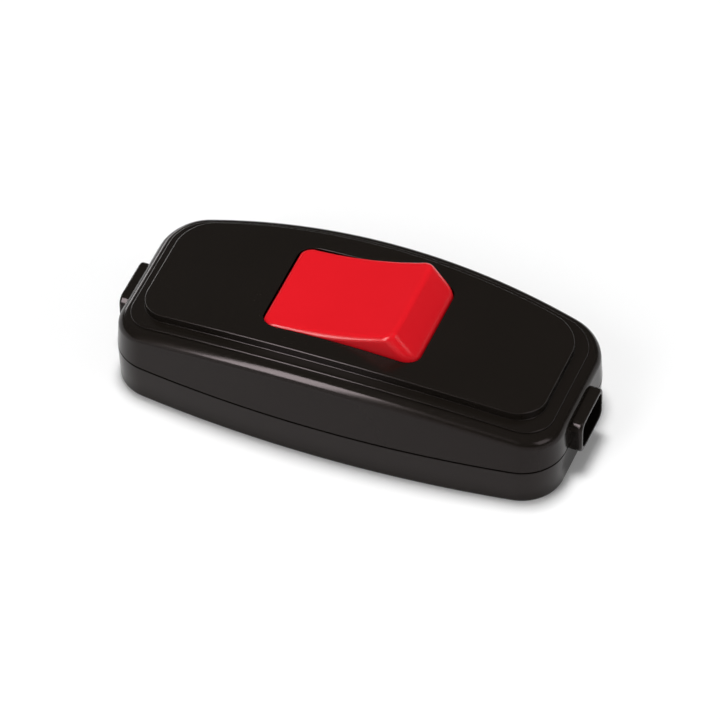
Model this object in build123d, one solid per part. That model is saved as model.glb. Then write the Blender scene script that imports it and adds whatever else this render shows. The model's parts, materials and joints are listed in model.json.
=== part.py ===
from build123d import *
from math import cos, hypot, radians, sin, sqrt
import os

# An in-line rocker switch for a lamp lead. +X runs along the lead, +Z is up, and the origin
# is the middle of the underside. The rocker is at rest with its left side pressed.

# Case plan: bowed long sides, straight ends, rounded corners
case_length = 86.0
case_width = 39.4
case_end_width = 31.8
case_corner = 8.3
wall = 2.0

# Base shell
parting_height = 8.2
floor = 2.0
base_draft = 2.5
base_edge = 1.1
groove_height = 0.4
groove_depth = 0.5
tongue_width = 0.95
tongue_height = 1.1
tongue_clearance = 0.1

# Cover shell: an arched top that rises in two steps
cover_height = 21.9
cover_draft = 1.5
arch_drop = 5.4
shoulder_radius = 1.9
ledge_inset = 2.4
ledge_corner = 6.4
ledge_rise = 0.45
ledge_edge = 0.25
plateau_inset = 4.5
plateau_corner = 6.5
plateau_rise = 1.75
plateau_edge = 0.25

# Cord collars, half on each shell
collar_width = 11.2
collar_height = 7.4
collar_corner = 1.7
collar_reach = 1.85
collar_sleeve = 1.0
collar_edge = 0.5
collar_wall = 0.85
collar_lift = 0.2

# Rocker, drawn level about its trunnion axis
pivot_depth = 7.9
rocker_tilt = 11.5
rocker_width = 21.2
ridge_spacing = 25.6
ridge_height = 10.35
dish_depth = 1.2
slope_run = 3.35
slope_drop = 6.25
skirt_height = 1.2
rocker_wall = 1.6
rocker_edge = 0.7
rocker_corner = 2.2
skirt_corner = 3.2
rocker_side_gap = 0.3
rocker_end_gap = 0.3
aperture_corner = 2.2
trunnion_radius = 1.5
trunnion_length = 2.0
cheek_radius = 3.0
well_wall = 1.2
well_depth = 3.0
ear_thickness = 2.0
bearing_clearance = 0.05

# Plungers and their springs, in tubes below the rocker
pole_spacing = 12.0
tube_wall = 0.8
tube_reach = 3.2
tube_cap = 2.1
plunger_radius = 1.55
plunger_guide = 3.7
plunger_gap = 0.1
spring_wire = 0.4
spring_turns = 5.0
spring_slack = 0.05

# Contact levers, drawn level about their lugs
lever_tilt = 6.5
lever_height = 3.1
lever_width = 4.0
lever_thickness = 0.8
lever_short_arm = 5.0
lever_tail = 2.0
lug_width = 1.2
lug_overhang = 0.4
contact_arm = 7.5
contact_radius = 1.5
contact_height = 0.7
contact_dome = 4.0
contact_shank = 0.75
contact_head = 1.1
contact_head_height = 0.3
contact_gap = 0.03

# Terminal strips and screw cages
strip_width = 4.4
strip_thickness = 0.8
saddle_length = 3.6
saddle_side_gap = 0.4
saddle_rise = 1.6
notch_clearance = 0.3
notch_depth_clearance = 0.1
fixed_contact_radius = 1.7
fixed_strip_lead = 2.4
peg_radius = 1.0
peg_height = 1.4
pivot_peg_station = 12.0
fixed_peg_station = 16.0
cage_length = 6.5
cage_width = 6.6
cage_wall = 0.9
cage_roof = 1.4
cage_window = 4.1
cage_end_tail = 0.6
cage_clearance = 0.05
pocket_height = 2.6
pocket_wall = 1.0
partition_thickness = 1.2
partition_height = 5.6
fit_clearance = 0.05

# Cord clamps
clamp_inset = 8.0
clamp_to_terminal = 7.8
clamp_length = 22.0
clamp_bar_width = 5.0
clamp_thickness = 2.0
clamp_rib = 0.6
clamp_head_gap = 0.15
cord_room = 4.0
post_spacing = 16.6
post_radius = 2.6

# Screws
screw_slot = 0.7
terminal_screw_radius = 1.45
terminal_screw_length = 3.4
terminal_head_radius = 2.3
terminal_head_height = 1.6
terminal_head_gap = 0.4
clamp_screw_radius = 1.2
clamp_screw_length = 7.0
clamp_head_radius = 2.3
clamp_head_height = 1.4
case_screw_radius = 1.4
case_screw_length = 12.0
case_head_radius = 2.7
case_head_height = 1.8
case_head_recess = 2.2
boss_radius = 3.0
boss_gap = 0.8
base_boss_wall = 1.2

# Heights and places that follow from the sizes above
side_bow = (case_width - case_end_width) / 2
side_radius = ((case_length / 2) ** 2 + side_bow ** 2) / (2 * side_bow)
arch_radius = ((case_length / 2) ** 2 + arch_drop ** 2) / (2 * arch_drop)
ledge_crown = cover_height - plateau_rise
shoulder_crown = ledge_crown - ledge_rise
collar_z = parting_height + collar_lift
pivot_z = cover_height - pivot_depth
pole_y = pole_spacing / 2
rocker_half = rocker_width / 2
ridge_x = ridge_spacing / 2
foot_x = ridge_x + slope_run
foot_z = ridge_height - slope_drop
aperture_radius = hypot(foot_x, foot_z) + rocker_end_gap
aperture_half = rocker_half + rocker_side_gap
strip_top = floor + strip_thickness
lever_z = floor + lever_height
tip_reach = pivot_z - lever_z - lever_thickness - plunger_gap
tube_radius = plunger_radius + bearing_clearance + tube_wall
plunger_top = plunger_guide - tube_reach
bore_top = ridge_height - dish_depth - tube_cap
saddle_inner = lever_width / 2 + saddle_side_gap
saddle_outer = saddle_inner + strip_thickness
clamp_x = case_length / 2 - clamp_inset
terminal_x = clamp_x - clamp_to_terminal
boss_x = aperture_radius + well_wall + boss_gap / 2 + boss_radius
ENDS = {"left": -1, "right": 1}
SIDES = {"front": -1, "back": 1}


def half_width(x, inset=0.0):
    """Half width of the case plan at station x, on a side drawn in by inset."""
    return sqrt((side_radius - inset) ** 2 - x ** 2) - side_radius + case_width / 2


def arch_height(x, crown):
    """Height at station x of an arch of that crown; all arches share an axis across the case."""
    radius = arch_radius + crown - cover_height
    return crown - radius + sqrt(radius ** 2 - x ** 2)


boss_y = half_width(boss_x, wall) - boss_radius - boss_gap / 2
clamp_ceiling = arch_height(clamp_x + clamp_head_radius, shoulder_crown - wall)
post_top = clamp_ceiling - clamp_head_gap - clamp_head_height - clamp_thickness


def outline(inset, corner):
    """Plan of the case drawn in by inset, with its corners rounded."""
    x = case_length / 2 - inset
    y = half_width(x, inset)
    middle = half_width(0, inset)
    front = ThreePointArc((-x, -y), (0, -middle), (x, -y))
    right = Line((x, -y), (x, y))
    back = ThreePointArc((x, y), (0, middle), (-x, y))
    left = Line((-x, y), (-x, -y))
    plan = make_face(Curve() + [front, right, back, left])
    return fillet(plan.vertices(), corner)


def block(low, high):
    """Rectangular block between two opposite corners."""
    size = [b - a for a, b in zip(low, high)]
    return Pos(*low) * Box(*size, align=(Align.MIN, Align.MIN, Align.MIN))


def rod(radius, low, high):
    """Upright round rod on the Z axis between two heights."""
    return Pos(0, 0, low) * Cylinder(radius, high - low, align=(Align.CENTER, Align.CENTER, Align.MIN))


def cross_rod(radius, low, high):
    """Round rod along the Y axis between two stations."""
    return Pos(0, (low + high) / 2, 0) * Rot(90, 0, 0) * Cylinder(radius, high - low)


def drum(radius, half_length, corner):
    """Round drum about the Y axis, with its two rims rounded."""
    barrel = cross_rod(radius, -half_length, half_length)
    return fillet(barrel.edges().filter_by(GeomType.CIRCLE), corner)


def under_arch(crown):
    """Round bar across the case whose upper side is an arch of that crown."""
    radius = arch_radius + crown - cover_height
    return Pos(0, 0, crown - radius) * cross_rod(radius, -case_width, case_width)


def raised(inset, corner, crown, draft=0.0):
    """Block on the parting plane: the plan drawn in by inset, below an arch of that crown."""
    plan = Pos(0, 0, parting_height) * outline(inset, corner)
    return extrude(plan, crown - parting_height + wall, taper=draft) & under_arch(crown)


def rounded_top(solid, radius):
    """Solid with the edges of its highest face rounded."""
    return fillet(solid.faces().sort_by(Axis.Z)[-1].edges(), radius)


def collar():
    """Right-hand cord collar before it is parted between the shells."""
    section = RectangleRounded(collar_width, collar_height, collar_corner)
    start = case_length / 2 - wall - collar_sleeve
    tube = extrude(Plane.YZ.offset(start) * Pos(0, collar_z) * section, wall + collar_sleeve + collar_reach)
    return fillet(tube.faces().sort_by(Axis.X)[-1].edges(), collar_edge)


def collar_bore():
    """Passage for the flat cord through the right-hand collar."""
    section = RectangleRounded(
        collar_width - 2 * collar_wall,
        collar_height - 2 * collar_wall,
        collar_corner - collar_wall / 2,
    )
    start = case_length / 2 - wall - 2 * collar_sleeve
    length = wall + 3 * collar_sleeve + collar_reach
    return extrude(Plane.YZ.offset(start) * Pos(0, collar_z) * section, length)


def both_ends(solid):
    """The solid and its mirror image at the other end of the case."""
    return solid + mirror(solid, about=Plane.YZ)


def case_screw_places():
    """Diagonal pair of places where the case is screwed together."""
    return [(-boss_x, boss_y), (boss_x, -boss_y)]


def base_shell():
    """Lower half of the case: drafted tray with a tongue, bosses, pockets, saddles and posts."""
    plan = Pos(0, 0, parting_height) * outline(0, case_corner)
    tray = extrude(plan, parting_height, dir=(0, 0, -1), taper=base_draft)
    tray = fillet(tray.faces().sort_by(Axis.Z)[0].edges(), base_edge)
    rim = outline(-groove_depth, case_corner + groove_depth) - outline(groove_depth, case_corner - groove_depth)
    tray -= extrude(Pos(0, 0, parting_height - groove_height) * rim, groove_height)
    hollow = outline(wall, case_corner - wall)
    tray -= extrude(Pos(0, 0, floor) * hollow, parting_height)
    ring = outline(wall - tongue_width, case_corner - wall + tongue_width) - hollow
    tray += extrude(Pos(0, 0, parting_height - wall) * ring, wall + tongue_height)
    below = block((-case_length, -case_width, 0), (case_length, case_width, parting_height))
    tray += both_ends(collar()) & below
    gap = collar_width / 2 + tongue_clearance
    tray -= both_ends(block(
        (case_length / 2 - wall - tongue_clearance, -gap, parting_height),
        (case_length / 2, gap, parting_height + tongue_height),
    ))

    tray += block(
        (-terminal_x - cage_length / 2, -partition_thickness / 2, floor / 2),
        (terminal_x + cage_length / 2, partition_thickness / 2, floor + partition_height),
    )
    for end in ENDS.values():
        tray += Pos(end * clamp_x, 0, 0) * block(
            (-strip_thickness, -collar_width / 2 + collar_wall, floor / 2),
            (strip_thickness, collar_width / 2 - collar_wall, post_top - cord_room),
        )
        for side in SIDES.values():
            post = Pos(end * clamp_x, side * post_spacing / 2, 0)
            tray += post * rod(post_radius, floor / 2, post_top)
            tray -= post * rod(clamp_screw_radius + fit_clearance, floor, post_top)
            seat = Pos(end * terminal_x, side * pole_y, 0)
            outer_y = cage_width / 2 + cage_clearance
            tray += seat * Pos(0, side * (outer_y + pocket_wall / 2), 0) * block(
                (-cage_length / 2, -pocket_wall / 2, floor / 2),
                (cage_length / 2, pocket_wall / 2, floor + pocket_height),
            )
            half = cage_length / 2 + cage_clearance
            tray -= seat * block((-half, -outer_y, floor - cage_wall - cage_clearance), (half, outer_y, floor))
    for side in SIDES.values():
        for station in (-pivot_peg_station, fixed_peg_station):
            tray += Pos(station, side * pole_y, 0) * rod(peg_radius, floor / 2, floor + peg_height)
    for x, y in case_screw_places():
        place = Pos(x, y, 0)
        bore = case_head_radius + fit_clearance + base_boss_wall
        envelope = extrude(outline(wall / 2, case_corner - wall / 2), parting_height)
        tray += place * rod(bore, floor / 2, parting_height) & envelope
        tray -= place * rod(case_head_radius + fit_clearance, 0, case_head_recess + case_head_height)
        tray -= place * rod(case_screw_radius + fit_clearance, 0, parting_height)
    return tray - both_ends(collar_bore())


def cover_shell():
    """Upper half of the case: arched shoulder, ledge and plateau over a hollow, with the rocker's well."""
    shoulder = rounded_top(raised(0, case_corner, shoulder_crown, cover_draft), shoulder_radius)
    ledge = rounded_top(raised(ledge_inset, ledge_corner, ledge_crown), ledge_edge)
    plateau = rounded_top(raised(plateau_inset, plateau_corner, cover_height), plateau_edge)
    form = shoulder + ledge + plateau
    hollow = raised(wall, case_corner - wall, shoulder_crown - wall)
    hollow += raised(plateau_inset + wall, plateau_corner, cover_height - wall)
    rebate = outline(wall - tongue_width - tongue_clearance, case_corner - wall + tongue_width)
    hollow += extrude(Pos(0, 0, parting_height) * rebate, tongue_height + tongue_clearance)

    above = block((-case_length, -case_width, parting_height), (case_length, case_width, cover_height))
    shell = form - hollow + (both_ends(collar()) & above)
    axis = Pos(0, 0, pivot_z)
    bearing = aperture_half + ear_thickness
    well = axis * cross_rod(aperture_radius + well_wall, -bearing, bearing)
    well &= block((-case_length, -bearing, pivot_z - well_depth), (case_length, bearing, cover_height))
    shell += well & form
    for x, y in case_screw_places():
        shell += Pos(x, y, 0) * rod(boss_radius, parting_height, cover_height) & form
    shell -= axis * drum(aperture_radius, aperture_half, aperture_corner)
    shell -= axis * cross_rod(trunnion_radius + bearing_clearance, -bearing, bearing)
    pilot_top = case_head_recess + case_head_height + case_screw_length + fit_clearance
    for x, y in case_screw_places():
        shell -= Pos(x, y, 0) * rod(case_screw_radius + fit_clearance, parting_height, pilot_top)
    return shell - both_ends(collar_bore())


def rocker_profile(bottom):
    """Side view of the level rocker about its axis: dished top and sloped ends, down to bottom."""
    foot = ridge_x + (ridge_height - bottom) * slope_run / slope_drop
    return make_face(Curve() + [
        ThreePointArc((-ridge_x, ridge_height), (0, ridge_height - dish_depth), (ridge_x, ridge_height)),
        Line((ridge_x, ridge_height), (foot, bottom)),
        Line((foot, bottom), (-foot, bottom)),
        Line((-foot, bottom), (-ridge_x, ridge_height)),
    ])


def rocker_plan(inset):
    """Block with the level rocker's rounded plan, drawn in by inset, from its axis to its ridges."""
    plan = RectangleRounded(2 * (foot_x - inset), rocker_width - 2 * inset, skirt_corner - inset)
    return extrude(plan, ridge_height)


def at_rocker(solid):
    """Solid drawn on the level rocker, put at its resting tilt."""
    return Pos(0, 0, pivot_z) * Rot(0, -rocker_tilt, 0) * solid


def rocker():
    """Hollow rocker with a dished top, cheeks with trunnions, and two plunger tubes."""
    outer = extrude(Plane.XZ * rocker_profile(skirt_height), rocker_half, both=True)
    slopes = outer.faces().filter_by(lambda f: f.normal_at().Z > sin(radians(rocker_tilt)))
    slopes = slopes.sort_by(Axis.X)
    sides = [e for f in (slopes[0], slopes[-1]) for e in f.edges() if not e.is_closed]
    outer = fillet([e for e in sides if abs(e.tangent_at(0.5).Y) < fit_clearance], rocker_corner)
    outer = fillet(outer.faces().sort_by(Axis.Z)[-1].edges(), rocker_edge)
    room = offset(rocker_profile(skirt_height - 2 * rocker_wall), -rocker_wall)
    room = extrude(Plane.XZ * room, rocker_half - rocker_wall, both=True)
    body = (outer & rocker_plan(0)) - (room & rocker_plan(rocker_wall))
    for side in SIDES.values():
        inner_y = rocker_half - rocker_wall
        low = min(side * inner_y, side * rocker_half)
        body += Pos(0, low, 0) * cross_rod(cheek_radius, 0, rocker_wall)
        body += block((-cheek_radius, low, 0), (cheek_radius, low + rocker_wall, foot_z))
        start = min(side * rocker_half, side * (rocker_half + trunnion_length))
        body += Pos(0, start, 0) * cross_rod(trunnion_radius, 0, trunnion_length)
        tube = Pos(0, side * pole_y, 0)
        body += tube * rod(tube_radius, -tube_reach, bore_top + tube_cap / 2)
        body -= tube * rod(plunger_radius + bearing_clearance, -tube_reach, bore_top)
    return at_rocker(body)


def plunger(side):
    """Round-nosed plunger that slides in one tube of the rocker."""
    nose = plunger_radius - tip_reach
    pin = rod(plunger_radius, nose, plunger_top) + Pos(0, 0, nose) * Sphere(plunger_radius)
    return at_rocker(Pos(0, side * pole_y, 0) * pin)


def plunger_spring(side):
    """Coil spring between the end of the tube's bore and the plunger."""
    radius = plunger_radius - spring_wire
    low = plunger_top + spring_slack + spring_wire / 2
    high = bore_top - spring_slack - spring_wire / 2
    path = Helix(pitch=(high - low) / spring_turns, height=high - low, radius=radius)
    section = Plane(origin=path @ 0, z_dir=path % 0) * Circle(spring_wire / 2)
    return at_rocker(Pos(0, side * pole_y, low) * sweep(section, path=path, is_frenet=True))


def at_lever(side, solid):
    """Solid drawn on a level lever about its lugs, put at its resting tilt on one pole."""
    return Pos(0, side * pole_y, lever_z) * Rot(0, lever_tilt, 0) * solid


def contact_lever(side):
    """Flat seesaw lever with two side lugs and a hole for its contact rivet."""
    half = lever_width / 2
    strip = block((-lever_short_arm, -half, 0), (contact_arm + lever_tail, half, lever_thickness))
    strip = fillet(strip.edges().filter_by(Axis.Z), lever_width / 4)
    reach = saddle_outer + lug_overhang
    strip += block((-lug_width / 2, -reach, 0), (lug_width / 2, reach, lever_thickness))
    strip -= Pos(contact_arm, 0, 0) * rod(contact_shank + fit_clearance, 0, lever_thickness)
    return at_lever(side, strip)


def lever_contact(side):
    """Contact rivet with a domed face below the lever and an upset head above it."""
    dome = Pos(0, 0, contact_dome - contact_height) * Sphere(contact_dome)
    rivet = rod(contact_radius, -contact_height, 0) & dome
    rivet += rod(contact_shank, -contact_height / 2, lever_thickness)
    rivet += rod(contact_head, lever_thickness, lever_thickness + contact_head_height)
    return at_lever(side, Pos(contact_arm, 0, 0) * rivet)


def pivot_terminal(side):
    """Brass strip from the left cage to the middle, ending in a notched saddle for the lever."""
    half = strip_width / 2
    tail = terminal_x + cage_length / 2 + cage_end_tail
    strip = block((-tail, -half, floor), (0, half, strip_top))
    top = lever_z + saddle_rise
    saddle = block((-saddle_length / 2, -saddle_outer, floor), (saddle_length / 2, saddle_outer, top))
    saddle -= block((-saddle_length / 2, -saddle_inner, strip_top), (saddle_length / 2, saddle_inner, top))
    notch = lug_width / 2 + notch_clearance
    saddle -= block((-notch, -saddle_outer, lever_z - notch_depth_clearance), (notch, saddle_outer, top))
    strip += saddle
    strip -= Pos(-pivot_peg_station, 0, 0) * rod(peg_radius + fit_clearance, floor, strip_top)
    return Pos(0, side * pole_y, 0) * strip


def fixed_contact_place():
    """Station and height of the fixed contact's face, just under the closed lever contact."""
    tilt = radians(lever_tilt)
    centre = contact_dome - contact_height
    x = contact_arm * cos(tilt) + centre * sin(tilt)
    z = lever_z - contact_arm * sin(tilt) + centre * cos(tilt) - contact_dome
    return x, z - contact_gap


def fixed_terminal(side):
    """Brass strip from under the lever contact to the right cage."""
    half = strip_width / 2
    x, _ = fixed_contact_place()
    tail = terminal_x + cage_length / 2 + cage_end_tail
    strip = block((x - fixed_strip_lead, -half, floor), (tail, half, strip_top))
    strip -= Pos(x, 0, 0) * rod(contact_shank + fit_clearance, floor, strip_top)
    strip -= Pos(fixed_peg_station, 0, 0) * rod(peg_radius + fit_clearance, floor, strip_top)
    return Pos(0, side * pole_y, 0) * strip


def fixed_contact(side):
    """Contact rivet set in the fixed strip."""
    x, z = fixed_contact_place()
    rivet = rod(fixed_contact_radius, strip_top, z) + rod(contact_shank, floor, strip_top)
    return Pos(x, side * pole_y, 0) * rivet


def terminal_cage(end, side):
    """Brass cage round the end of a strip, open along the lead, with a threaded roof."""
    half = cage_length / 2
    side_y = cage_width / 2
    low = floor - cage_wall
    high = floor + cage_window + cage_roof
    cage = block((-half, -side_y, low), (half, side_y, high))
    inner = side_y - cage_wall
    cage -= block((-half, -inner, floor), (half, inner, floor + cage_window))
    cage -= rod(terminal_screw_radius + fit_clearance, floor + cage_window, high)
    return Pos(end * terminal_x, side * pole_y, 0) * cage


def screw(radius, length, head_radius, head_height):
    """Pan-head screw with a slot, its head's seat at the origin and its shank pointing down."""
    head = rounded_top(rod(head_radius, 0, head_height), head_height / 2)
    slot = block((-head_radius, -screw_slot / 2, head_height / 2), (head_radius, screw_slot / 2, head_height))
    shank = rod(radius, -length, 0)
    tip = chamfer(shank.faces().sort_by(Axis.Z)[0].edges(), radius / 3)
    return head - slot + tip


def terminal_screws():
    """One screw in the roof of each cage, backed off so that a conductor can enter."""
    one = screw(terminal_screw_radius, terminal_screw_length, terminal_head_radius, terminal_head_height)
    seat = floor + cage_window + cage_roof + terminal_head_gap
    return [Pos(e * terminal_x, s * pole_y, seat) * one for e in ENDS.values() for s in SIDES.values()]


def cord_clamp(end):
    """Moulded bar across the cord, with a pressing rib below and two screw holes."""
    bar = block(
        (-clamp_bar_width / 2, -clamp_length / 2, 0),
        (clamp_bar_width / 2, clamp_length / 2, clamp_thickness),
    )
    bar = fillet(bar.edges().filter_by(Axis.Z), clamp_bar_width / 3)
    rib = post_spacing / 2 - post_radius - fit_clearance
    bar += block((-strip_thickness, -rib, -clamp_rib), (strip_thickness, rib, 0))
    for side in SIDES.values():
        bar -= Pos(0, side * post_spacing / 2, 0) * rod(clamp_screw_radius + fit_clearance, 0, clamp_thickness)
    return Pos(end * clamp_x, 0, post_top) * bar


def clamp_screws():
    """Two screws through each clamp bar into the posts."""
    one = screw(clamp_screw_radius, clamp_screw_length, clamp_head_radius, clamp_head_height)
    seat = post_top + clamp_thickness
    y = post_spacing / 2
    return [Pos(e * clamp_x, s * y, seat) * one for e in ENDS.values() for s in SIDES.values()]


def case_screws():
    """Screws from below that draw the cover's bosses down on the base."""
    one = screw(case_screw_radius, case_screw_length, case_head_radius, case_head_height)
    seat = case_head_recess + case_head_height
    return [Pos(x, y, seat) * Rot(180, 0, 0) * one for x, y in case_screw_places()]


nodes = {
    "base_shell": base_shell(),
    "cover_shell": cover_shell(),
    "rocker": rocker(),
    "terminal_screws": Compound(terminal_screws()),
    "clamp_screws": Compound(clamp_screws()),
    "case_screws": Compound(case_screws()),
}
for end_name, end in ENDS.items():
    nodes[f"cord_clamp_{end_name}"] = cord_clamp(end)
for side_name, side in SIDES.items():
    nodes[f"plunger_{side_name}"] = plunger(side)
    nodes[f"plunger_spring_{side_name}"] = plunger_spring(side)
    nodes[f"contact_lever_{side_name}"] = contact_lever(side)
    nodes[f"lever_contact_{side_name}"] = lever_contact(side)
    nodes[f"pivot_terminal_{side_name}"] = pivot_terminal(side)
    nodes[f"fixed_terminal_{side_name}"] = fixed_terminal(side)
    nodes[f"fixed_contact_{side_name}"] = fixed_contact(side)
    for end_name, end in ENDS.items():
        nodes[f"terminal_cage_{end_name}_{side_name}"] = terminal_cage(end, side)

os.makedirs("parts", exist_ok=True)
for name, solid in nodes.items():
    export_step(solid, f"parts/{name}.step")
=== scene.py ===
import json

import bmesh
import bpy
import numpy as np
from mathutils import Matrix, Vector


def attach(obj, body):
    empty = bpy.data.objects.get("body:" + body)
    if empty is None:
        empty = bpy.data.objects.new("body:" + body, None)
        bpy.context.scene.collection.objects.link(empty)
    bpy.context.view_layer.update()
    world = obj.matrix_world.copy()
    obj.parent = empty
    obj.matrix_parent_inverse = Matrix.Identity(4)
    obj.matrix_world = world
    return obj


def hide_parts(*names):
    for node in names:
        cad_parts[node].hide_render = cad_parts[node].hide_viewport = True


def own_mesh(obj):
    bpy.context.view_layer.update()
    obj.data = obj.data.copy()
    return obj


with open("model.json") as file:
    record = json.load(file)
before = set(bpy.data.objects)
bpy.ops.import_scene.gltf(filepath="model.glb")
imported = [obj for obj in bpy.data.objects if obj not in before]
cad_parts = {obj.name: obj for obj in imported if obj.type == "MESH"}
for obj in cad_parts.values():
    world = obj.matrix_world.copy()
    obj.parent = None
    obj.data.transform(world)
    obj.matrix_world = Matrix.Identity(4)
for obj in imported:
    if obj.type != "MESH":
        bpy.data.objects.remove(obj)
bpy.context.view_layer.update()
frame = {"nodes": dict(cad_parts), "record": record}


# Base shell: the lower half of the case, a shallow drafted tray with a rounded lower edge.
# It is injection moulded in semi-gloss black plastic, with a tongue along its rim that locates
# the cover and two deep holes below for the screws that draw the halves together.

MM = 0.001
case_length, case_width, case_end_width, case_corner = 86.0, 39.38, 31.8, 8.3
side_bow = (case_width - case_end_width) / 2
side_radius = ((case_length / 2) ** 2 + side_bow ** 2) / (2 * side_bow)
wall, floor_thickness, parting_height = 2.0, 2.0, 8.2
base_slope, base_edge, side_middle = np.tan(np.radians(2.5)), 1.1, 5.0
groove_height, groove_depth = 0.4, 0.5
tongue_width, tongue_height = 0.95, 1.1
collar_half_width, collar_half_height, collar_corner, collar_z = 5.6, 3.7, 1.7, 8.4
collar_inner_x, collar_outer_x, collar_wall = 40.0, 44.85, 0.85
collar_edge, collar_mouth, collar_gap = 0.5, 0.15, 0.02
bore_inner_x, bore_outer_x = 39.0, 46.0
screw_places = [(-21.562, 13.342), (21.562, -13.342)]
recess_radius, recess_top, shank_radius, shank_top, below = 2.75, 4.0, 1.45, 8.0, -1.0

# A ring this close beside an edge keeps the shading of the edge crisp.
near = 0.03


def four_quarters(x, y):
    """Closed rings from quarter rings: a quarter from +X to +Y and its mirror images, in order."""
    x = np.hstack([x, -x[:, -2::-1], -x[:, 1:], x[:, -2:0:-1]])
    y = np.hstack([y, y[:, -2::-1], -y[:, 1:], -y[:, -2:0:-1]])
    return x, y


def case_plan(inset, corner):
    """Plan of the case drawn in by inset, one ring for each inset: half a straight end, an arc of
    radius corner, and half of a long arc whose centre stays put while its radius shrinks by inset."""
    end_steps = np.linspace(0, 1, 9)[:-1]
    corner_steps = np.linspace(0, 1, 19)[:-1]
    side_steps = np.linspace(0, 1, 31)
    inset = np.reshape(inset, (-1, 1))
    corner = np.reshape(corner, (-1, 1)) + 0 * inset
    end_x = case_length / 2 - inset
    arc = side_radius - inset
    hub = case_width / 2 - side_radius
    corner_x = end_x - corner
    corner_y = hub + np.sqrt((arc - corner) ** 2 - corner_x ** 2)
    turn = np.arctan2(corner_y - hub, corner_x)
    bend = turn * corner_steps
    sweep = turn + (np.pi / 2 - turn) * side_steps
    x = np.hstack([end_x + 0 * end_steps, corner_x + corner * np.cos(bend), arc * np.cos(sweep)])
    y = np.hstack([corner_y * end_steps, corner_y + corner * np.sin(bend), hub + arc * np.sin(sweep)])
    return four_quarters(x, y)


def ring_shell(x, y, z, closed=False):
    """Points and quads of rings laid one after another: quad (i, j) joins points j and j + 1 of
    rings i and i + 1, round each ring, and the last ring joins the first where closed."""
    z = z + 0 * x
    index = np.arange(x.size).reshape(x.shape)
    after = np.roll(index, -1, axis=1)
    rows = slice(None) if closed else slice(None, -1)
    quads = [index[rows], after[rows], np.roll(after, -1, axis=0)[rows], np.roll(index, -1, axis=0)[rows]]
    points = np.stack([x, y, z], axis=-1).reshape(-1, 3)
    return points, np.stack(quads, axis=-1).reshape(-1, 4).tolist()


def shelled(name, shells):
    """One object from closed shells of points in millimetres and faces, each shell's faces counted
    on from the last one's points. Doubles are merged and the faces turned outwards."""
    starts = np.cumsum([0] + [len(points) for points, _ in shells])
    faces = [[int(s) + i for i in face] for s, (_, shell) in zip(starts, shells) for face in shell]
    mesh = bpy.data.meshes.new(name)
    mesh.from_pydata((np.vstack([points for points, _ in shells]) * MM).tolist(), [], faces)
    double = 1e-7
    form = bmesh.new()
    form.from_mesh(mesh)
    bmesh.ops.remove_doubles(form, verts=form.verts, dist=double)
    bmesh.ops.recalc_face_normals(form, faces=form.faces)
    form.to_mesh(mesh)
    form.free()
    piece = bpy.data.objects.new(name, mesh)
    bpy.context.scene.collection.objects.link(piece)
    return piece


def cut(piece, cutter):
    """Takes the closed shells of cutter out of piece for good, and drops the slivers that leaves."""
    tool = piece.modifiers.new("cut", "BOOLEAN")
    tool.object = cutter
    tool.operation = "DIFFERENCE"
    tool.solver = "EXACT"
    graph = bpy.context.evaluated_depsgraph_get()
    piece.data = bpy.data.meshes.new_from_object(piece.evaluated_get(graph))
    piece.modifiers.clear()
    bpy.data.objects.remove(cutter)
    sliver = 1e-6
    form = bmesh.new()
    form.from_mesh(piece.data)
    bmesh.ops.remove_doubles(form, verts=form.verts, dist=sliver)
    bmesh.ops.dissolve_degenerate(form, edges=form.edges, dist=sliver)
    form.to_mesh(piece.data)
    form.free()


def joined(piece, other):
    """Adds the shells of other to piece, leaving both as they are, and removes other."""
    form = bmesh.new()
    form.from_mesh(piece.data)
    form.from_mesh(other.data)
    form.to_mesh(piece.data)
    form.free()
    bpy.data.objects.remove(other)


def smooth(piece, degrees=32):
    """Smooth shading over the rounds, with edges sharper than the angle left crisp."""
    piece.data.shade_smooth()
    piece.data.set_sharp_from_angle(angle=np.radians(degrees))


def lathe(profile, x=0.0, y=0.0, steps=48):
    """Shell of a closed profile of radius and height turned about an upright axis at x, y."""
    radius, height = np.array(profile, float).T[:, :, None]
    angle = np.linspace(0, 2 * np.pi, steps, endpoint=False)
    return ring_shell(x + radius * np.cos(angle), y + radius * np.sin(angle), height, closed=True)


def round_rectangle(half_width, half_height, corner, centre_z):
    """Ring in the YZ plane: straight sides joined by four quarter circles."""
    bend = np.linspace(0, np.pi / 2, 11)
    y = np.hstack([half_width, half_width - corner + corner * np.cos(bend), 0.0])[None]
    z = np.hstack([0.0, half_height - corner + corner * np.sin(bend), half_height])[None]
    y, z = four_quarters(y, z)
    return y, z + centre_z


def cord_bores(name):
    """The two passages for the cord: a rounded rectangle carried along X through each end wall."""
    y, z = round_rectangle(
        collar_half_width - collar_wall, collar_half_height - collar_wall,
        collar_corner - collar_wall / 2, collar_z,
    )
    count = y.size
    caps = [list(range(count)), list(range(count, 2 * count))]
    shells = []
    for end in (-1, 1):
        x = end * np.array([[bore_inner_x], [bore_outer_x]]) + 0 * y
        points, quads = ring_shell(x, np.vstack([y, y]), np.vstack([z, z]))
        shells.append((points, quads + caps))
    return shelled(name, shells)


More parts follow.
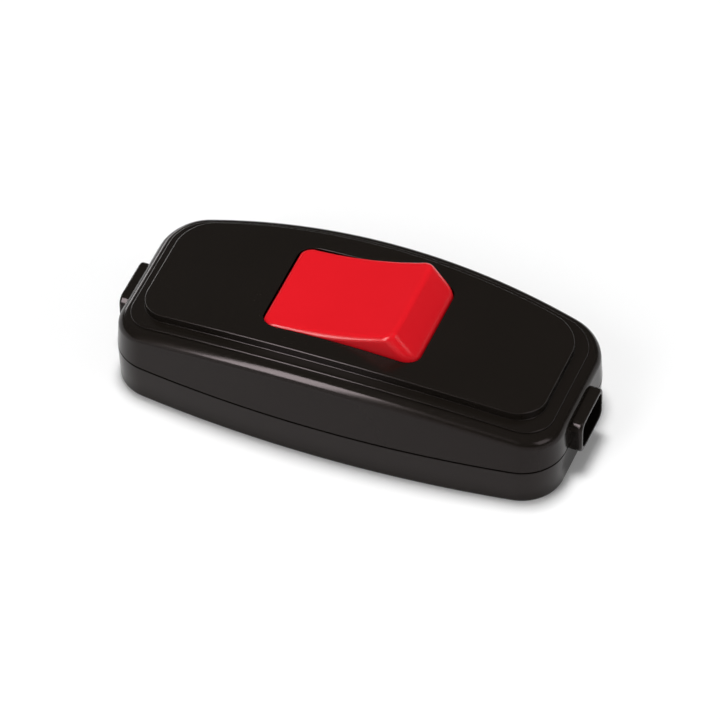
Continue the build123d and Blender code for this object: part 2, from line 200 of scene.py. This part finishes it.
def half_collar(side, end):
    """Half of a cord collar: a wall profile of X and depth, carried along the half of a rounded
    rectangle that lies above (+1) or below (-1) the parting plane, and capped on that plane."""
    bend = np.linspace(0, np.pi / 2, 7)[:, None]
    profile_x = np.vstack([
        [[collar_inner_x], [collar_outer_x - collar_edge - near]],
        collar_outer_x - collar_edge + collar_edge * np.sin(bend),
        collar_outer_x - collar_mouth + collar_mouth * np.cos(bend),
        [[collar_outer_x - collar_mouth - near], [collar_inner_x]],
    ])
    depth = np.vstack([
        [[0.0], [0.0]],
        collar_edge - collar_edge * np.cos(bend),
        collar_wall - collar_mouth + collar_mouth * np.sin(bend),
        [[collar_wall], [collar_wall]],
    ])
    turn = np.linspace(0, np.pi / 2, 13)
    half, corner = collar_half_width - depth, collar_corner - depth / 2
    top = collar_half_height - depth
    part = side * (parting_height - collar_z) + 0 * depth + collar_gap
    y = np.hstack([half, half - corner + corner * np.cos(turn), 0 * half])
    z = np.hstack([part, top - corner + corner * np.sin(turn), top])
    y = np.hstack([y, -y[:, -2::-1]])
    z = collar_z + side * np.hstack([z, z[:, -2::-1]])
    x = end * profile_x + 0 * y
    index = np.arange(x.size).reshape(x.shape)
    after = np.roll(index, -1, axis=0)
    quads = [index[:, :-1], index[:, 1:], after[:, 1:], after[:, :-1]]
    quads = np.stack(quads, axis=-1).reshape(-1, 4).tolist()
    caps = [index[:, 0].tolist(), index[:, -1].tolist()]
    return np.stack([x, y, z], axis=-1).reshape(-1, 3), quads + caps


class Wire:
    """A shader socket that takes part in sums: each operator adds a Math node behind it."""

    def __init__(self, tree, socket=None):
        self.tree = tree
        self.socket = socket

    def node(self, kind, settings=None, links=None, output=0):
        """Any node: its type, its settings, then the values or wires of its sockets."""
        made = self.tree.nodes.new(kind)
        for key, value in (settings or {}).items():
            setattr(made, key, value)
        for key, value in (links or {}).items():
            if isinstance(value, Wire):
                self.tree.links.new(value.socket, made.inputs[key])
            else:
                made.inputs[key].default_value = value
        return Wire(self.tree, made.outputs[output] if len(made.outputs) else None)

    def math(self, operation, first, second):
        """A Math node on two values or wires."""
        return self.node("ShaderNodeMath", {"operation": operation}, {0: first, 1: second})

    def __add__(self, other):
        return self.math("ADD", self, other)

    __radd__ = __add__

    def __mul__(self, other):
        return self.math("MULTIPLY", self, other)

    __rmul__ = __mul__


def finish(name):
    """An empty node material: its first wire, and a function that closes it with a Principled BSDF."""
    material = bpy.data.materials.new(name)
    material.use_nodes = True
    material.node_tree.nodes.clear()
    wire = Wire(material.node_tree)

    def close(**sockets):
        shader = wire.node("ShaderNodeBsdfPrincipled", links=sockets)
        wire.node("ShaderNodeOutputMaterial", links={"Surface": shader})
        return material

    return wire, close


def speckle(wire, scale, detail):
    """Noise of about 0 to 1 on the piece's own coordinates, scale in cells per metre."""
    place = wire.node("ShaderNodeTexCoord", output="Object")
    return wire.node("ShaderNodeTexNoise", links={"Vector": place, "Scale": scale, "Detail": detail})


def tint(wire, share, dark, light):
    """Colour between two others, by a share from 0 to 1. A Mix node's colours are its sockets 6 and
    7, and its colour output is 2."""
    return wire.node(
        "ShaderNodeMix", {"data_type": "RGBA", "clamp_factor": True},
        {"Factor": share, 6: (*dark, 1), 7: (*light, 1)}, output=2,
    )


def bump(wire, height, distance, strength):
    """Normal of a small relief of that height, its full distance in metres."""
    return wire.node("ShaderNodeBump", links={"Strength": strength, "Distance": distance, "Height": height})


wire, close = finish("moulded_black")
cloud = speckle(wire, 55.0, 3.0)
grain = speckle(wire, 2600.0, 2.0)
black_plastic = close(**{
    "Base Color": tint(wire, cloud, (0.0072, 0.0058, 0.0045), (0.0094, 0.0076, 0.0060)),
    "Roughness": 0.15 + 0.03 * cloud + 0.03 * grain,
    "Normal": bump(wire, grain, 0.00002, 0.1),
    "Specular IOR Level": 0.165,
    "Specular Tint": (1.0, 0.85, 0.88, 1),
})


def draw(z):
    """How far the base's side is drawn in at height z below the parting plane."""
    return (parting_height - z) * base_slope


# The section runs from the rounded lower edge up the drafted side, into the parting groove, in to
# the tongue's foot, over the tongue and down the inner wall to the floor.
fall = np.linspace(0, np.pi / 2, 11)
edge_inset = draw(base_edge) + base_edge * (1 - np.sin(fall))
edge_z = base_edge * (1 - np.cos(fall))
groove_z = parting_height - groove_height
tongue_z = parting_height + tongue_height
inset = np.hstack([
    edge_inset, draw(base_edge + near), draw(side_middle), draw(groove_z), groove_depth, groove_depth,
    wall - tongue_width, wall - tongue_width, wall, wall,
])
height = np.hstack([
    edge_z, base_edge + near, side_middle, groove_z, groove_z, parting_height,
    parting_height, tongue_z, tongue_z, floor_thickness,
])
x, y = case_plan(inset, case_corner - inset)
z = height[:, None] + 0 * x

# Underside and floor: the end rings shrink to a line along the middle, shorter than the case.
shrink = np.array([[0.0], [0.35], [0.7], [0.97]])
line_shortening = 0.35
lengthwise = 1 - line_shortening * (1 - shrink)
x = np.vstack([x[:1] * lengthwise, x, x[-1:] * lengthwise[::-1]])
y = np.vstack([y[:1] * shrink, y, y[-1:] * shrink[::-1]])
flat = 0 * y[:len(shrink)]
z = np.vstack([flat, z, floor_thickness + flat])
base = shelled("base", [ring_shell(x, y, z)])
cut(base, cord_bores("base_bores"))
recess = [
    (0.0, below), (recess_radius, below), (recess_radius, recess_top),
    (shank_radius, recess_top), (shank_radius, shank_top), (0.0, shank_top),
]
cut(base, shelled("recesses", [lathe(recess, x, y) for x, y in screw_places]))
joined(base, shelled("base_collars", [half_collar(-1, end) for end in (-1, 1)]))
smooth(base)
base.data.materials.append(black_plastic)
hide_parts("base_shell")
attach(base, "housing")


# Cover shell: the upper half of the case, in the same black plastic. Its top is a long low arch
# that rises from a rounded shoulder over a narrow ledge to a raised plateau, and the plateau is
# pierced by a well for the rocker. It is moulded in one piece and held down by the screws below.

cover_height, arch_drop = 21.9, 5.4
arch_radius = ((case_length / 2) ** 2 + arch_drop ** 2) / (2 * arch_drop)
cover_slope, shoulder_radius, shoulder_crown = np.tan(np.radians(1.5)), 1.9, 19.7
ledge_inset, ledge_corner, ledge_edge, ledge_crown = 2.4, 6.4, 0.25, 20.15
plateau_inset, plateau_corner, plateau_edge, cove = 4.5, 6.5, 0.25, 0.15
pivot_z, well_radius, well_half_width, well_corner = 14.0, 16.77, 10.72, 2.9
well_lip, well_bottom, well_wall, ear_thickness = 0.1, 11.0, 1.2, 2.0
mouth_guess, well_levels = 21.2, (20.4, 19.0, 17.0, 14.5)
bearing_radius, bearing_inner, bearing_outer = 1.55, 10.4, 13.4
tongue_clearance = 0.1


def arch(x, crown):
    """Height of an arch across the case: a circle of the crown's radius about the arches' one axis."""
    radius = arch_radius + crown - cover_height
    return crown - radius + np.sqrt(radius ** 2 - x ** 2)


def well_ring(z, radius, half_width, corner, columns):
    """Ring of the rocker's well at heights z: a drum about the rocker's axis, its rims rounded by
    corner, cut level. Half an end, a corner and half a flat side make a quarter of the ring."""
    end = np.linspace(0, 1, 15)[:-1]
    bend = np.linspace(0, np.pi / 2, 13)[:-1]
    side = np.linspace(1, 0, columns // 4 + 1 - end.size - bend.size)
    drum = np.hstack([radius + 0 * end, radius - corner * (1 - np.cos(bend)), radius - corner + 0 * side])
    along = np.hstack([1 + 0 * end, 1 + 0 * bend, side])
    x = along * np.sqrt(drum ** 2 - (z - pivot_z) ** 2)
    y = np.hstack([
        (half_width - corner) * end, half_width - corner * (1 - np.sin(bend)), half_width + 0 * side,
    ])
    return four_quarters(x, y + 0 * x)


def cross_rod(radius, inner, outer, side):
    """A round rod laid across the case, its axis along Y, from inner to outer on that side."""
    profile = [(0.0, inner), (radius, inner), (radius, outer), (0.0, outer)]
    points, quads = lathe(profile, steps=32)
    return points[:, [0, 2, 1]] * (1, side, 1), quads


# Outer skin, from the parting plane up: the leaning wall, the rounded shoulder and the strip of
# top beside it.
lean = (shoulder_crown - shoulder_radius - parting_height) * cover_slope
rings = []
for share in (0.0, 0.25, 0.5, 0.75, 0.99):
    x, y = case_plan(lean * share, case_corner - lean * share)
    wall_height = arch(x, shoulder_crown) - shoulder_radius - parting_height
    rings.append((x, y, parting_height + wall_height * share))
rise = np.linspace(0, np.pi / 2, 15)[:, None]
inset = lean + shoulder_radius * (1 - np.cos(rise))
x, y = case_plan(inset, case_corner - inset)
rings.append((x, y, arch(x, shoulder_crown) - shoulder_radius * (1 - np.sin(rise))))
shoulder_inset = lean + shoulder_radius
x, y = case_plan([shoulder_inset + near, ledge_inset], [case_corner - shoulder_inset, ledge_corner])
rings.append((x, y, arch(x, shoulder_crown)))

# The ledge and the plateau: each is a short riser with a rounded edge, and a small cove runs round
# the plateau's foot.
half_step = np.linspace(0, np.pi / 2, 6)[:, None]
for inset, corner, edge, crown, foot in (
    (ledge_inset, ledge_corner, ledge_edge, ledge_crown, shoulder_crown),
    (plateau_inset, plateau_corner, plateau_edge, cover_height, ledge_crown + cove + near),
):
    x, y = case_plan([inset, inset], [corner, corner])
    rings.append((x, y, arch(x, np.array([[foot], [crown - edge - near]]))))
    inset = inset + edge * (1 - np.cos(half_step))
    x, y = case_plan(inset, corner - edge * (1 - np.cos(half_step)))
    rings.append((x, y, arch(x, crown) - edge * (1 - np.sin(half_step))))
    x, y = case_plan([inset[-1, 0] + near], [corner - edge])
    rings.append((x, y, arch(x, crown)))
    if crown == ledge_crown:
        x, y = case_plan(plateau_inset - cove - near, plateau_corner + cove)
        rings.append((x, y, arch(x, crown)))
        hollow = cove * (1 - np.sin(half_step))
        x, y = case_plan(plateau_inset - hollow, plateau_corner + hollow)
        rings.append((x, y, arch(x, crown) + cove * (1 - np.cos(half_step))))

# The plateau's top runs in to the mouth of the well, over its rounded lip and down the well, then
# up the outside of the well's wall. The mouth lies on the arch: a first ring, at a guessed height,
# gives the heights for the second.
rim_x, rim_y, _ = rings[-1]
columns = rim_x.shape[1]
lip = (well_radius + well_lip, well_half_width + well_lip, well_corner + well_lip, columns)
edge_x, edge_y = well_ring(np.array([[mouth_guess]]), *lip)
mouth_z = arch(edge_x[:, :columns // 4 + 1], cover_height)
edge_x, edge_y = well_ring(mouth_z, *lip)
for share in (0.25, 0.5, 0.75, 0.97, 1.0):
    x, y = rim_x + (edge_x - rim_x) * share, rim_y + (edge_y - rim_y) * share
    rings.append((x, y, arch(x, cover_height)))
for turn in np.radians([30, 60, 90]):
    spread = well_lip * (1 - np.sin(turn))
    x, y = well_ring(mouth_z, well_radius + spread, well_half_width + spread, well_corner + spread, columns)
    rings.append((x, y, arch(x, cover_height) - well_lip * (1 - np.cos(turn))))
for z in (*well_levels, well_bottom):
    x, y = well_ring(np.array([[z]]), well_radius, well_half_width, well_corner, columns)
    rings.append((x, y, z + 0 * x))
for z in (well_bottom, *well_levels[:0:-1]):
    x, y = well_ring(
        np.array([[z]]), well_radius + well_wall, well_half_width + ear_thickness, well_corner, columns
    )
    rings.append((x, y, z + 0 * x))

# Inside: the ceiling steps down with the top outside, and the rim is rebated for the base's tongue.
for inset, corner, crown in (
    (plateau_inset + wall, plateau_corner - wall, cover_height - wall),
    (plateau_inset + wall, plateau_corner - wall, shoulder_crown - wall),
    (wall, case_corner - wall, shoulder_crown - wall),
):
    x, y = case_plan(inset, corner)
    rings.append((x, y, arch(x, crown)))
rebate_inset = wall - tongue_width - tongue_clearance
rebate_z = tongue_z + tongue_clearance
for inset, z in ((wall, rebate_z), (rebate_inset, rebate_z), (rebate_inset, parting_height)):
    x, y = case_plan(inset, case_corner - inset)
    rings.append((x, y, z + 0 * x))
x, y, z = (np.vstack([ring[axis] for ring in rings]) for axis in range(3))
cover = shelled("cover", [ring_shell(x, y, z, closed=True)])
cut(cover, cord_bores("cover_bores"))
holes = [cross_rod(bearing_radius, bearing_inner, bearing_outer, side) for side in (-1, 1)]
cut(cover, shelled("bearings", [(points + (0, 0, pivot_z), quads) for points, quads in holes]))
joined(cover, shelled("cover_collars", [half_collar(1, end) for end in (-1, 1)]))
smooth(cover)
cover.data.materials.append(black_plastic)
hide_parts("cover_shell")
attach(cover, "housing")


# Rocker: the red key that a finger tips from side to side, moulded hollow in glossy red plastic.
# Its top is dished between two ridges, its ends slope away, and it turns on two short trunnions
# in the walls of the well; at rest its left side is pressed.

rocker_tilt, rocker_half_width = np.radians(11.5), 10.6
ridge_x, ridge_height, dish_depth = 12.8, 10.35, 1.2
slope_run, slope_drop, skirt_height = 3.35, 6.25, 1.2
rocker_edge, rocker_corner, skirt_corner, corner_blend = 1.15, 2.2, 3.2, 0.5
rocker_wall, inner_corner, upright_x = 1.6, 0.6, 5.0
pole_y, tube_bore, tube_radius = 6.0, 1.6, 2.4
tube_low, bore_end, tube_high = -3.2, 7.05, 8.0
cheek_radius, cheek_inner, cheek_outer = 3.0, 9.1, 10.7
trunnion_radius, trunnion_inner, trunnion_outer = 1.5, 10.0, 12.7
dish_radius = (ridge_x ** 2 + dish_depth ** 2) / (2 * dish_depth)
foot_x, foot_z = ridge_x + slope_run, ridge_height - slope_drop
stretch = np.hypot(slope_run, slope_drop) / slope_drop


def dish(x):
    """Height of the rocker's top: a circle below a centre high over the middle."""
    return ridge_height - dish_depth + dish_radius - np.sqrt(dish_radius ** 2 - x ** 2)


def key_reach(z):
    """Half length of the rocker at height z: a straight slope down to the foot, then upright."""
    return foot_x - np.maximum(z - foot_z, 0) * slope_run / slope_drop


def key_ring(reach, inset, corner):
    """Plan of the rocker drawn in by inset: ends at reach with small round corners, held inside a
    fixed plan with larger ones. Where the two come close, a short curve blends them."""
    half = rocker_half_width - inset
    plan_corner = skirt_corner - inset
    end = np.sin(np.linspace(0, np.pi / 2, 15))[:-1] * (half - corner)
    bend = np.linspace(0, np.pi / 2, 13)
    side = np.linspace(1, 0, 25)[1:]
    y = np.hstack([end, half - corner * (1 - np.sin(bend))])
    tip = reach[:, :y.size] - stretch * corner * np.hstack([0 * end, 1 - np.cos(bend)])
    over = np.clip(y - half + plan_corner, 0, plan_corner)
    limit = foot_x - inset - plan_corner + np.sqrt(plan_corner ** 2 - over ** 2)
    closeness = np.clip(corner_blend - np.abs(tip - limit), 0, corner_blend)
    tip = np.minimum(tip, limit) - closeness ** 2 / 2
    x = np.hstack([tip, tip[:, -1:] * side])
    y = np.hstack([y, half + 0 * side])
    return four_quarters(x, y + 0 * x)


def at_rest(points):
    """Points on the level rocker, turned to its resting tilt about the trunnions' axis."""
    x, y, z = points.T
    turned_x = x * np.cos(rocker_tilt) - z * np.sin(rocker_tilt)
    return np.stack([turned_x, y, pivot_z + x * np.sin(rocker_tilt) + z * np.cos(rocker_tilt)], axis=-1)


def unit(vectors):
    """Vectors of length one, the same way."""
    return vectors / np.linalg.norm(vectors, axis=-1, keepdims=True)


def dot(first, second):
    """Products of pairs of vectors, kept as a column."""
    return np.sum(first * second, axis=-1, keepdims=True)


# Top edge: along the line where the dish meets the sides, a ball of the edge's radius touches the
# side below and the dish within, and the round is the arc between the two points it touches.
loop_x, loop_y = key_ring(np.array([[ridge_x]]), 0.0, rocker_corner)
loop = np.stack([loop_x, loop_y, dish(loop_x)], axis=-1)[0]
along_x, level = loop[:, 0], 0 * loop[:, 0]
tangent = unit(np.roll(loop, -1, axis=0) - np.roll(loop, 1, axis=0))
slant = np.clip((np.abs(along_x) - upright_x) / (ridge_x - rocker_corner * stretch - upright_x), 0, 1)
down = np.stack([np.sign(along_x) * slant * slope_run / slope_drop, level, level - 1], axis=-1)
down = unit(down - dot(down, tangent) * tangent)
upward = np.stack([-along_x / np.sqrt(dish_radius ** 2 - along_x ** 2), level, level + 1], axis=-1)
inward = unit(np.cross(upward, tangent))
opening = np.arccos(np.clip(dot(down, inward), -1, 1))
ball = loop + unit(down + inward) * rocker_edge / np.sin(opening / 2)
first = loop + down * rocker_edge / np.tan(opening / 2) - ball
last = loop + inward * rocker_edge / np.tan(opening / 2) - ball
share = np.linspace(0, 1, 9)[:, None, None]
turn = np.pi - opening
fillet = ball + (np.sin((1 - share) * turn) * first + np.sin(share * turn) * last) / np.sin(turn)

# The key's shell: the roof inside, the inner wall down to the skirt, the outer wall up to the
# round, the round, and the dish, which closes on a line along the middle.
crowding, last_step = 0.8, 0.985
steps = np.hstack([np.linspace(0, 1, 14) ** crowding * last_step, 1.0])[:, None]
wall_z = skirt_height + (fillet[0, :, 2][None] - skirt_height) * steps
wall_x, wall_y = key_ring(key_reach(wall_z), 0.0, rocker_corner)
shrink = np.array([[0.985], [0.8], [0.5], [0.2], [0.0]])
top_shortening, roof_shortening = 0.25, 0.4
top_x = fillet[-1, :, 0] * (1 - top_shortening * (1 - shrink))
top_y = fillet[-1, :, 1] * shrink
inner_steps = np.array([[1.0], [0.6], [0.3], [0.0]])
inner_z = skirt_height + (dish(0) - rocker_wall - skirt_height) * inner_steps
inner_x, inner_y = key_ring(key_reach(inner_z) - rocker_wall, rocker_wall, inner_corner)
roof_x = inner_x[:1] * (1 - roof_shortening * (1 - shrink[::-1]))
roof_y = inner_y[:1] * shrink[::-1]
x = np.vstack([roof_x, inner_x, wall_x, fillet[1:, :, 0], top_x])
y = np.vstack([roof_y, inner_y, wall_y, fillet[1:, :, 1], top_y])
z = np.vstack([inner_z[0] + 0 * roof_x, inner_z + 0 * inner_x, wall_z, fillet[1:, :, 2], dish(top_x)])
shells = [ring_shell(x, y, z)]
tube = [
    (tube_bore, tube_low), (tube_radius, tube_low), (tube_radius, tube_high),
    (0.0, tube_high), (0.0, bore_end), (tube_bore, bore_end),
]
for side in (-1, 1):
    shells.append(lathe(tube, y=side * pole_y, steps=32))
    shells.append(cross_rod(cheek_radius, cheek_inner, cheek_outer, side))
    shells.append(cross_rod(trunnion_radius, trunnion_inner, trunnion_outer, side))
rocker = shelled("rocker_key", [(at_rest(points), quads) for points, quads in shells])
smooth(rocker)

wire, close = finish("moulded_red")
cloud = speckle(wire, 70.0, 3.0)
grain = speckle(wire, 2200.0, 2.0)
red_plastic = close(**{
    "Base Color": tint(wire, cloud, (0.67, 0.0072, 0.0135), (0.73, 0.0088, 0.0165)),
    "Roughness": 0.2 + 0.05 * cloud + 0.04 * grain,
    "Normal": bump(wire, grain, 0.00002, 0.15),
    "Specular IOR Level": 0.17,
})
rocker.data.materials.append(red_plastic)
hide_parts("rocker")
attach(rocker, "rocker")


# Plungers and cord clamps: the small moulded pieces inside, in natural nylon. The plungers slide
# in the rocker's tubes, and each clamp is a bar screwed down across the cord.

wire, close = finish("natural_nylon")
cloud = speckle(wire, 180.0, 3.0)
nylon = close(**{
    "Base Color": tint(wire, cloud, (0.66, 0.64, 0.57), (0.74, 0.72, 0.66)),
    "Roughness": 0.42 + 0.1 * cloud,
    "Normal": bump(wire, cloud, 0.00004, 0.2),
})
for name in ("plunger_front", "plunger_back", "cord_clamp_left", "cord_clamp_right"):
    frame["nodes"][name].data.materials.clear()
    frame["nodes"][name].data.materials.append(nylon)


# Metal pieces inside: stamped brass strips, levers and cages, silver contact rivets, zinc-plated
# steel screws and springs of drawn wire. Each metal has one finish, with the fine lines or grain
# that its making leaves.


def metal(name, dark, light, roughness, lines):
    """A bare metal whose colour and polish vary with fine lines along X, lines per metre across."""
    wire, close = finish(name)
    place = wire.node("ShaderNodeTexCoord", output="Object")
    drawn_out = 20
    scale = (lines / drawn_out, lines, lines)
    stretched = wire.node("ShaderNodeMapping", links={"Vector": place, "Scale": scale})
    streak = wire.node("ShaderNodeTexNoise", links={"Vector": stretched, "Scale": 1.0, "Detail": 3.0})
    return close(**{
        "Base Color": tint(wire, streak, dark, light),
        "Metallic": 1.0,
        "Roughness": roughness + 0.12 * streak,
        "Normal": bump(wire, streak, 0.00001, 0.2),
    })


finishes = {
    "brass": metal("stamped_brass", (0.62, 0.42, 0.16), (0.78, 0.56, 0.25), 0.22, 4000.0),
    "silver": metal("contact_silver", (0.74, 0.73, 0.7), (0.86, 0.85, 0.82), 0.18, 3000.0),
    "steel": metal("zinc_plate", (0.5, 0.5, 0.48), (0.64, 0.64, 0.62), 0.26, 3500.0),
    "spring_steel": metal("drawn_wire", (0.4, 0.4, 0.4), (0.52, 0.52, 0.51), 0.24, 6000.0),
}
for part in frame["record"]["subparts"]:
    if part["material_slot"] in finishes:
        node = frame["nodes"][part["node"]]
        node.data.materials.clear()
        node.data.materials.append(finishes[part["material_slot"]])


# Plunger springs: a coil of drawn steel wire in each of the rocker's tubes, between the end of the
# bore and the plunger. It turns with the rocker.

spring_radius, spring_wire, spring_turns = 1.15, 0.4, 5.0
spring_low, spring_high, plunger_travel = 0.75, 6.8, 0.8


def coil(radius, wire_width, low, high, turns):
    """Shell of a round wire carried along a helix: the helix rises evenly from low to high, each ring
    of the wire lies square to the helix, and a flat face closes each end."""
    ring_points, rings_per_turn = 12, 36
    angle = np.linspace(0, 2 * np.pi * turns, int(rings_per_turn * turns) + 1)[:, None]
    climb = (high - low) / (2 * np.pi * turns)
    outward = np.stack([np.cos(angle), np.sin(angle), 0 * angle], axis=-1)
    onward = unit(np.stack([-radius * np.sin(angle), radius * np.cos(angle), climb + 0 * angle], axis=-1))
    across = np.cross(onward, outward)
    bend = np.linspace(0, 2 * np.pi, ring_points, endpoint=False)[None, :, None]
    helix = radius * outward + np.stack([0 * angle, 0 * angle, low + climb * angle], axis=-1)
    rings = helix + wire_width / 2 * (outward * np.cos(bend) + across * np.sin(bend))
    points, quads = ring_shell(rings[..., 0], rings[..., 1], rings[..., 2])
    index = list(range(len(points)))
    return points, quads + [index[:ring_points], index[-ring_points:]]


for name, side in (("front", -1), ("back", 1)):
    points, faces = coil(spring_radius, spring_wire, spring_low, spring_high, spring_turns)
    spring = shelled(f"spring_{name}", [(at_rest(points + (0, side * pole_y, 0)), faces)])
    smooth(spring, degrees=60)
    spring.data.materials.append(finishes["spring_steel"])
    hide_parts(f"plunger_spring_{name}")
    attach(spring, "rocker")
    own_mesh(spring)


# Studio: a plain pale table that runs out of sight, a tall soft strip from the front left, weaker
# soft lights above, in front and at the right, and a surround that grows paler upwards. The gleam
# and the rim show only as gloss, the rim on the case alone. The camera has the photograph's view.

half_table, table_drop, glow_share = 3.0, 0.00005, 0.05
surround_low, surround_rise = 0.05, 0.17
lit_height = 0.012
table_mesh = bpy.data.meshes.new("table")
corners = half_table * np.array([[-1, -1, 0], [1, -1, 0], [1, 1, 0], [-1, 1, 0]], float)
table_mesh.from_pydata((corners - (0, 0, table_drop)).tolist(), [], [[0, 1, 2, 3]])
table = bpy.data.objects.new("table", table_mesh)
bpy.context.scene.collection.objects.link(table)
material = bpy.data.materials.new("pale_table")
material.use_nodes = True
material.node_tree.nodes.clear()
wire = Wire(material.node_tree)
seen = (
    wire.node("ShaderNodeLightPath", output="Is Camera Ray")
    + wire.node("ShaderNodeLightPath", output="Is Glossy Ray")
    + wire.node("ShaderNodeLightPath", output="Is Transmission Ray")
)
matt = wire.node("ShaderNodeBsdfDiffuse", links={"Color": (0.96, 0.96, 0.96, 1)})
glow = wire.node("ShaderNodeEmission", links={"Color": (1, 1, 1, 1), "Strength": 1.0})
blend = wire.node("ShaderNodeMixShader", links={0: glow_share * seen, 1: matt, 2: glow})
wire.node("ShaderNodeOutputMaterial", links={"Surface": blend})
table_mesh.materials.append(material)

world = bpy.data.worlds.new("surround")
bpy.context.scene.world = world
world.use_nodes = True
world.node_tree.nodes.clear()
wire = Wire(world.node_tree)
upwards = wire.node("ShaderNodeSeparateXYZ", links={0: wire.node("ShaderNodeTexCoord")}, output="Z")
strength = surround_low + surround_rise * wire.math("MAXIMUM", upwards, 0.0)
paling = wire.node("ShaderNodeBackground", links={"Color": (1, 1, 1, 1), "Strength": strength})
wire.node("ShaderNodeOutputWorld", links={"Surface": paling})


def towards(azimuth, elevation):
    """Unit vector from the case to a bearing (0 is the front, positive to the right) and a height,
    both in degrees."""
    turn, lift = np.radians([azimuth, elevation])
    return Vector((np.sin(turn) * np.cos(lift), -np.cos(turn) * np.cos(lift), np.sin(lift)))


def soft_light(name, azimuth, elevation, distance, size, power):
    """A rectangular light at a bearing, a height and a distance about the case, facing it."""
    back = towards(azimuth, elevation)
    lamp = bpy.data.lights.new(name, "AREA")
    lamp.shape = "RECTANGLE"
    lamp.size, lamp.size_y = size
    lamp.energy = power
    light = bpy.data.objects.new(name, lamp)
    light.location = Vector((0, 0, lit_height)) + back * distance
    light.rotation_mode = "QUATERNION"
    light.rotation_quaternion = (-back).to_track_quat("-Z", "Y")
    bpy.context.scene.collection.objects.link(light)
    return light


soft_light("strip", -23.5, 28.0, 1.2, (0.48, 1.16), 5.4)
gleam = soft_light("gleam", -23.5, 28.0, 1.1, (0.41, 1.06), 23.6)
rim = soft_light("rim", -133.0, 6.0, 1.2, (0.36, 0.14), 1.6)
for shine in (gleam, rim):
    shine.visible_diffuse = False
case_only = bpy.data.collections.new("case_only")
for shell in (base, cover):
    case_only.objects.link(shell)
rim.light_linking.receiver_collection = case_only
overhead = soft_light("overhead", 225.0, 86.0, 1.0, (0.25, 0.25), 7.3)
overhead.visible_glossy = False
soft_light("fill", 85.0, 25.0, 1.1, (0.5, 0.4), 2.4)
soft_light("front", 14.0, 35.0, 1.3, (0.7, 0.5), 0.6)

view_azimuth, view_elevation, view_roll = 22.0, 45.38, -0.53
view_distance, view_lens, view_reach = 1.19335, 330.7, 20.0
aim_height, aim_right, aim_down = 0.011, 0.000131, 0.002607
back = towards(view_azimuth, view_elevation)
level_right = Vector((np.cos(np.radians(view_azimuth)), np.sin(np.radians(view_azimuth)), 0))
level_up = back.cross(level_right)
roll = np.radians(view_roll)
right = level_right * np.cos(roll) + level_up * np.sin(roll)
up = back.cross(right)
aim = Vector((0, 0, aim_height)) + right * aim_right - up * aim_down
camera = bpy.data.objects.new("camera", bpy.data.cameras.new("camera"))
camera.data.lens = view_lens
camera.data.clip_end = view_reach
facing = Matrix((right, up, back)).transposed().to_4x4()
camera.matrix_world = Matrix.Translation(aim + back * view_distance) @ facing
bpy.context.scene.collection.objects.link(camera)
bpy.context.scene.camera = camera
bpy.context.scene.view_settings.view_transform = "Standard"
